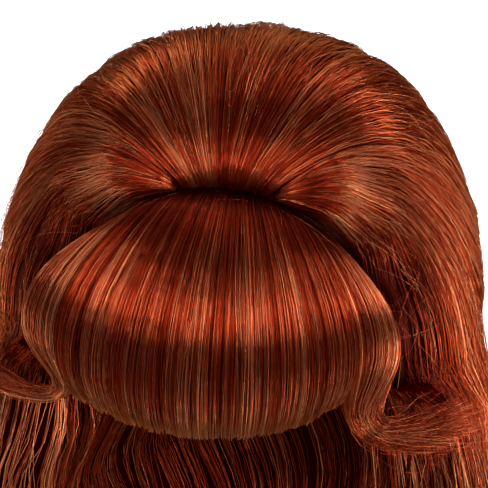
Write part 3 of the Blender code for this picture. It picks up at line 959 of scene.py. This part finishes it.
def length_strands(hair, rng, count, parts, locks, phases, tint, points=14):
    """Waved strands of the lengths, gathered into locks towards their tips."""
    share = even_shares(rng, count)
    _, lock = groove(share, locks)
    edges = lock_edges(locks)
    within = (share - edges[lock]) / (edges[1:] - edges[:-1])[lock]
    centre = (edges[:-1] + edges[1:])[lock] / 2
    last = 1 - 0.1 * np.abs(2 * within - 1) ** 2 - 0.32 * rng.random(count) ** 2.5
    along = down_shares(points) * last[:, None]
    loose = (rng.random(count) < 0.07)[:, None]
    line = mix(share[:, None], centre[:, None], 0.6 * step(along, 0.5, 1))
    line = line + np.where(loose, 0.03, 0.01) * wander(rng, count, along)
    line = np.clip(mix(-0.02, 1.02, line), -0.02, 1.02)
    across = np.clip(mix(*parts, line), -1, 1)
    face = rng.random(count)
    on_outside = rng.random(count) < 0.75
    face = np.where(on_outside, 1 - 0.35 * face ** LAYER_POWER, 0.25 * face)
    dip, _ = groove(line, locks)
    ridge = ripples(rng, LENGTH_RIDGES)
    depth = face[:, None] - LENGTH_GROOVE * dip + 0.05 * ridge(line)
    depth = depth + 0.04 * wander(rng, count, along)
    depth = np.clip(depth - 0.1 * (1 - step(along, 0, 0.125)), 0.0, 1.03)
    depth = depth + np.where(loose, 0.16, 0) * step(along, 0, 0.2)
    paths = waved(length_point(across, along, depth), line, along, locks, phases)
    outward = unit(paths * (1, 1, 0))
    # Strands on the inside of the lengths are darker: painted shade.
    tints = tinted(rng, tint + 0.2 * face + 0.12 * ridge(share), along)
    # Painted shade: strands darken just below the seam, under the sweeps.
    under_sweep = step(np.abs(across), 0.85, 0.95) * (1 - step(along, 0.06, 0.16))
    tints = tints - 0.5 * under_sweep
    hair.add_strands(paths, rng.uniform(*LENGTH_WIDTH, count), tints, outward)


def side_curls(hair, rng, count, side, points=12):
    """Loose curls that spring out beside the seam, over the lengths."""
    along = down_shares(points)
    middle = [read(CURL_PATH, axis, along[0]) for axis in "xyz"]
    around = rng.uniform(0, 2 * math.pi, (count, 1))
    away = np.sqrt(rng.random((count, 1))) * read(CURL_PATH, "size", along)
    twist = around + 1.4 * along
    reach = rng.uniform(0.7, 1.0, (count, 1)) * along
    centre = stack(*(np.interp(reach, along[0], values) for values in middle))
    off_centre = stack(away * np.cos(twist), away * np.sin(twist), 0.5 * away * np.cos(twist + 1))
    paths = centre + off_centre
    for axis in range(3):
        paths[..., axis] += 0.0012 * wander(rng, count, along, 2) * step(along, 0, 0.5)
    paths = paths * (side, 1, 1)
    tints = tinted(rng, 0.46 + 0.12 * np.cos(3 * around[:, 0]), along)
    hair.add_strands(paths, rng.uniform(*CURL_WIDTH, count), tints)


def new_material(name):
    """A new material, its node tree and its main shader."""
    material = bpy.data.materials.new(name)
    material.use_nodes = True
    tree = material.node_tree
    return material, tree, tree.nodes["Principled BSDF"]


def new_node(tree, kind, inputs=None, **settings):
    """A node with values for some of its inputs, and with its settings."""
    node = tree.nodes.new(kind)
    for name, value in settings.items():
        setattr(node, name, value)
    set_inputs(node, inputs or {})
    return node


def set_inputs(node, inputs):
    for name, value in inputs.items():
        node.inputs[name].default_value = value


def link(tree, source, output, target, socket):
    tree.links.new(source.outputs[output], target.inputs[socket])


def colour_ramp(tree, first, last, *between):
    """Colour ramp from the first colour to the last, through pairs of position and colour."""
    node = tree.nodes.new("ShaderNodeValToRGB")
    elements = node.color_ramp.elements
    elements[0].color = (*first, 1)
    elements[1].color = (*last, 1)
    for position, colour in between:
        elements.new(position).color = (*colour, 1)
    return node


def strand_material(name, look, roughness):
    """Dyed synthetic hair: each strand has its own tint, with a coppery glossy reflection."""
    material, tree, shader = new_material(name)
    tint = new_node(tree, "ShaderNodeAttribute", attribute_name="tint")
    patch = new_node(tree, "ShaderNodeTexNoise", {"Scale": 38, "Detail": 4})
    shift = new_node(tree, "ShaderNodeMath", {1: 0.3, 2: -0.15}, operation="MULTIPLY_ADD")
    total = new_node(tree, "ShaderNodeMath", operation="ADD")
    ramp = colour_ramp(tree, look.dark, look.light, (0.5, look.middle))
    link(tree, patch, "Fac", shift, 0)
    link(tree, shift, 0, total, 0)
    link(tree, tint, "Fac", total, 1)
    link(tree, total, 0, ramp, "Fac")
    link(tree, ramp, "Color", shader, "Base Color")
    set_inputs(shader, {
        "Roughness": roughness,
        "Metallic": 0.85,
        "IOR": 1.2,
        "Specular Tint": (1.0, 0.64, 0.4, 1),
        "Coat Weight": 0.03,
        "Coat Roughness": 0.3,
        "Coat IOR": 1.4,
    })
    return material


def dull_material(name, roughness, pattern, first, last, last_at, **texture):
    """Material without a shine, coloured by a ramp over the first output of a texture."""
    material, tree, shader = new_material(name)
    texture = new_node(tree, pattern, **texture)
    ramp = colour_ramp(tree, first, last)
    ramp.color_ramp.elements[1].position = last_at
    link(tree, texture, 0, ramp, "Fac")
    link(tree, ramp, "Color", shader, "Base Color")
    set_inputs(shader, {"Roughness": roughness, "Specular IOR Level": 0.0})
    return material


def under_material(dark):
    """Dull soft hair of the under-layer, that shows only between the strands. Its colour is a
    fraction of the darkest strand colour: painted shade in the depth of the hair.
    """
    first, last = ([share * channel for channel in dark] for share in (0.15, 0.3))
    inputs = {"Scale": 240, "Detail": 5}
    return dull_material(
        "under_hair_painted_shade", 1.0, "ShaderNodeTexNoise", first, last, 1.0, inputs=inputs
    )


def hair_materials(name, look, roughness):
    """Materials of the strands and of the soft body under them."""
    return strand_material(name, look, roughness), under_material(look.dark)


class WigSettings(bpy.types.PropertyGroup):
    """Colours and thickness of the hair, that a user would change."""

    dark: bpy.props.FloatVectorProperty(
        name="Dark", description="Colour of the deepest strands", subtype="COLOR",
        default=(0.042, 0.0008, 0.0001), min=0, max=1,
    )
    middle: bpy.props.FloatVectorProperty(
        name="Middle", description="Main auburn colour", subtype="COLOR",
        default=(0.185, 0.0135, 0.0022), min=0, max=1,
    )
    light: bpy.props.FloatVectorProperty(
        name="Light", description="Colour of the palest copper strands", subtype="COLOR",
        default=(0.445, 0.16, 0.066), min=0, max=1,
    )
    thickness: bpy.props.FloatProperty(
        name="Thickness", description="How thick all strands are, against the usual",
        subtype="FACTOR", default=1, min=0.5, max=2,
    )


class WIG_OT_cap(bpy.types.Operator):
    """Give the cap its net finish"""

    bl_idname = "wig.cap"
    bl_label = "Cap"

    def execute(self, context):
        material = dull_material(
            "cap_net", 0.9, "ShaderNodeTexVoronoi", (0.03, 0.007, 0.004), (0.008, 0.001, 0.001),
            0.25, inputs={"Scale": 700}, feature="DISTANCE_TO_EDGE",
        )
        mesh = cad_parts["wig_cap"].data
        mesh.materials.clear()
        mesh.materials.append(material)
        return {"FINISHED"}


class WIG_OT_crown(bpy.types.Operator):
    """Comb the mound back from the gather, in a fan and two sweeps"""

    bl_idname = "wig.crown"
    bl_label = "Crown"

    def execute(self, context):
        look = context.scene.wig_settings
        materials = hair_materials("crown_hair", look, 0.3)
        rng = np.random.default_rng(SEED)
        hair = Hair(look.thickness)
        parts = (-CROWN_PART, CROWN_PART)
        hair.add_body(crown_place(parts, FAN_LOCKS, FAN_BODY_START_DEG), 60, 30)
        crown_strands(hair, rng, FAN_COUNT, parts, FAN_LOCKS, FAN_START_DEG)
        crown_flyaways(hair, rng, FAN_FLYAWAYS, parts, FAN_START_DEG)
        stand_for(hair.build("fan_hair", materials), "crown_hair", "crown_fan")
        for side, node in ((-1, "sweep_right"), (1, "sweep_left")):
            hair = Hair(look.thickness)
            parts = (side * CROWN_PART, side)
            place = crown_place(parts, SWEEP_LOCKS, SWEEP_BODY_START_DEG, SWEEP_HOLLOW)
            hair.add_body(place, 40, 30)
            crown_strands(
                hair, rng, SWEEP_COUNT, parts, SWEEP_LOCKS, SWEEP_START_DEG,
                SWEEP_WALL, SWEEP_HOLLOW, SWEEP_SWING,
            )
            crown_flyaways(hair, rng, SWEEP_FLYAWAYS, parts, SWEEP_START_DEG)
            stand_for(hair.build(node + "_hair", materials), "sweep_hair", node)
        return {"FINISHED"}


class WIG_OT_fringe(bpy.types.Operator):
    """Comb the fringe and the front locks that flip out beside it"""

    bl_idname = "wig.fringe"
    bl_label = "Fringe"

    def execute(self, context):
        look = context.scene.wig_settings
        materials = hair_materials("fringe_hair", look, 0.28)
        rng = np.random.default_rng(SEED + 1)
        hair = Hair(look.thickness)
        parts = (-FRINGE_PART, FRINGE_PART)
        hair.add_body(front_place(parts, FRINGE_LOCKS), 60, 26)
        front_strands(hair, rng, FRINGE_COUNT, parts, FRINGE_LOCKS)
        slit_hairs(hair, rng, SLIT_HAIRS)
        stand_for(hair.build("fringe_strands", materials), "fringe_hair", "fringe")
        for side, node in ((-1, "front_lock_right"), (1, "front_lock_left")):
            hair = Hair(look.thickness)
            lock_strands(hair, rng, LOCK_COUNT, side)
            recess_hairs(hair, rng, RECESS_HAIRS, side)
            stand_for(hair.build(node + "_strands", materials), "fringe_hair", node)
        return {"FINISHED"}


class WIG_OT_lengths(bpy.types.Operator):
    """Hang the waved lengths below the seam"""

    bl_idname = "wig.lengths"
    bl_label = "Lengths"

    def execute(self, context):
        look = context.scene.wig_settings
        materials = hair_materials("length_hair", look, 0.3)
        rng = np.random.default_rng(SEED + 2)
        right, middle, left = (-1.0, -LENGTH_PART), (-LENGTH_PART, LENGTH_PART), (LENGTH_PART, 1.0)
        for node, parts, locks, count, phase, side in (
            ("side_length_right", right, SIDE_LOCKS[::-1], SIDE_COUNT, (-0.55, -0.18), -1),
            ("side_length_left", left, SIDE_LOCKS, SIDE_COUNT, (0.22, 0.4), 1),
            ("back_length", middle, BACK_LOCKS, BACK_COUNT, (-0.18, 0.22), 0),
        ):
            phases = np.linspace(*phase, len(locks))
            phases[1:-1] += rng.uniform(-0.04, 0.04, len(locks) - 2)
            hair = Hair(look.thickness)
            hair.add_body(length_place(parts, locks, phases), 40, 30)
            length_strands(hair, rng, count, parts, locks, phases, LENGTH_TINT_AND_PAINTED_LIGHT[side])
            if side:
                side_curls(hair, rng, CURL_COUNT, side)
            stand_for(hair.build(node + "_strands", materials), "length_hair", node)
        return {"FINISHED"}


def floor_bowl():
    """Wide pale floor whose rim curves up into a wall all round."""
    turns = np.linspace(0, 2 * math.pi, FLOOR_SIDES, endpoint=False)
    radius, height = FLOOR_PROFILE["radius"][:, None], FLOOR_PROFILE["height"][:, None]
    rings = stack(radius * np.cos(turns), radius * np.sin(turns), height)
    index = np.arange(rings.shape[0] * FLOOR_SIDES).reshape(-1, FLOOR_SIDES)
    after = np.roll(index, -1, axis=1)
    faces = np.stack((index[:-1], index[1:], after[1:], after[:-1]), -1).reshape(-1, 4)
    mesh = bpy.data.meshes.new("floor")
    mesh.from_pydata(rings.reshape(-1, 3).tolist(), [], faces.tolist())
    mesh.validate()
    return new_object("floor", mesh)


def studio_world():
    """Soft light from all round: a pale ground, a dark horizon and a dim ceiling."""
    world = bpy.data.worlds.new("studio")
    world.use_nodes = True
    tree = world.node_tree
    place = new_node(tree, "ShaderNodeTexCoord")
    split = new_node(tree, "ShaderNodeSeparateXYZ")
    height = new_node(tree, "ShaderNodeMapRange", {"From Min": -1.0})
    greys = ((0.27, 0.7), (0.42, 0.07), (0.6, 0.05), (0.8, 0.14))
    between = ((position, (grey, grey, grey)) for position, grey in greys)
    fade = colour_ramp(tree, (0.7, 0.7, 0.7), (0.12, 0.12, 0.12), *between)
    background = tree.nodes["Background"]
    link(tree, place, "Generated", split, "Vector")
    link(tree, split, "Z", height, "Value")
    link(tree, height, "Result", fade, "Fac")
    link(tree, fade, "Color", background, "Color")
    return world


def away_from_wig(turn, height):
    """Unit vector at a height in degrees, turn degrees round from the face."""
    turn, height = math.radians(turn), math.radians(height)
    level = math.cos(height)
    return Vector((math.sin(turn) * level, -math.cos(turn) * level, math.sin(height)))


def add_light(name, height, turn, size, power):
    """Square soft light that faces the wig."""
    away = away_from_wig(turn, height)
    data = bpy.data.lights.new(name, "AREA")
    data.size = size
    data.energy = power
    light = new_object(name, data)
    light.location = Vector(LIGHT_AIM) + away * LIGHT_REACH
    light.rotation_euler = away.to_track_quat("Z", "Y").to_euler()


def add_camera():
    """Camera above the forehead, as the photo was taken."""
    away = away_from_wig(*CAMERA_TURN_HEIGHT_DEG)
    roll = math.radians(CAMERA_ROLL_DEG)
    right = (-away).cross(Vector((0, 0, 1))).normalized()
    up = right.cross(-away)
    x_axis = right * math.cos(roll) + up * math.sin(roll)
    y_axis = up * math.cos(roll) - right * math.sin(roll)
    data = bpy.data.cameras.new("photo_camera")
    data.sensor_width = 36
    data.sensor_fit = "HORIZONTAL"
    data.lens = CAMERA_LENS_MM
    camera = new_object("photo_camera", data)
    spot = Matrix.Translation(Vector(CAMERA_AIM) + away * CAMERA_REACH)
    camera.matrix_world = spot @ Matrix((x_axis, y_axis, away)).transposed().to_4x4()
    bpy.context.scene.camera = camera


class WIG_OT_stage(bpy.types.Operator):
    """Set the pale floor, the soft studio light and the camera"""

    bl_idname = "wig.stage"
    bl_label = "Stage"

    def execute(self, context):
        scene = context.scene
        floor = floor_bowl()
        pale, _, shader = new_material("lit_floor")
        set_inputs(shader, {
            "Base Color": (0.5, 0.5, 0.5, 1),
            "Roughness": 0.9,
            "Emission Color": (1, 1, 1, 1),
            "Emission Strength": 1.0,
        })
        floor.data.materials.append(pale)
        for rays in ("diffuse", "glossy", "transmission", "shadow"):
            setattr(floor, "visible_" + rays, False)
        scene.world = studio_world()
        scene.view_settings.view_transform = "Standard"
        for light in LIGHTS:
            add_light(*light)
        add_camera()
        return {"FINISHED"}


class WIG_PT_panel(bpy.types.Panel):
    """The wig's colours, and the steps that build it"""

    bl_idname = "WIG_PT_panel"
    bl_label = "Beehive Wig"
    bl_space_type = "VIEW_3D"
    bl_region_type = "UI"
    bl_category = "Wig"

    def draw(self, context):
        settings = context.scene.wig_settings
        for name in ("dark", "middle", "light", "thickness"):
            self.layout.prop(settings, name)
        for operator in OPERATORS:
            self.layout.operator(operator.bl_idname)


OPERATORS = (WIG_OT_stage, WIG_OT_cap, WIG_OT_crown, WIG_OT_fringe, WIG_OT_lengths)
CLASSES = (WigSettings, *OPERATORS, WIG_PT_panel)


def register():
    for cls in CLASSES:
        bpy.utils.register_class(cls)
    bpy.types.Scene.wig_settings = bpy.props.PointerProperty(type=WigSettings)


def unregister():
    del bpy.types.Scene.wig_settings
    for cls in reversed(CLASSES):
        bpy.utils.unregister_class(cls)


def main():
    register()
    bpy.ops.wig.stage()
    bpy.ops.wig.cap()
    bpy.ops.wig.crown()
    bpy.ops.wig.fringe()
    bpy.ops.wig.lengths()


if __name__ == "__main__":
    main()
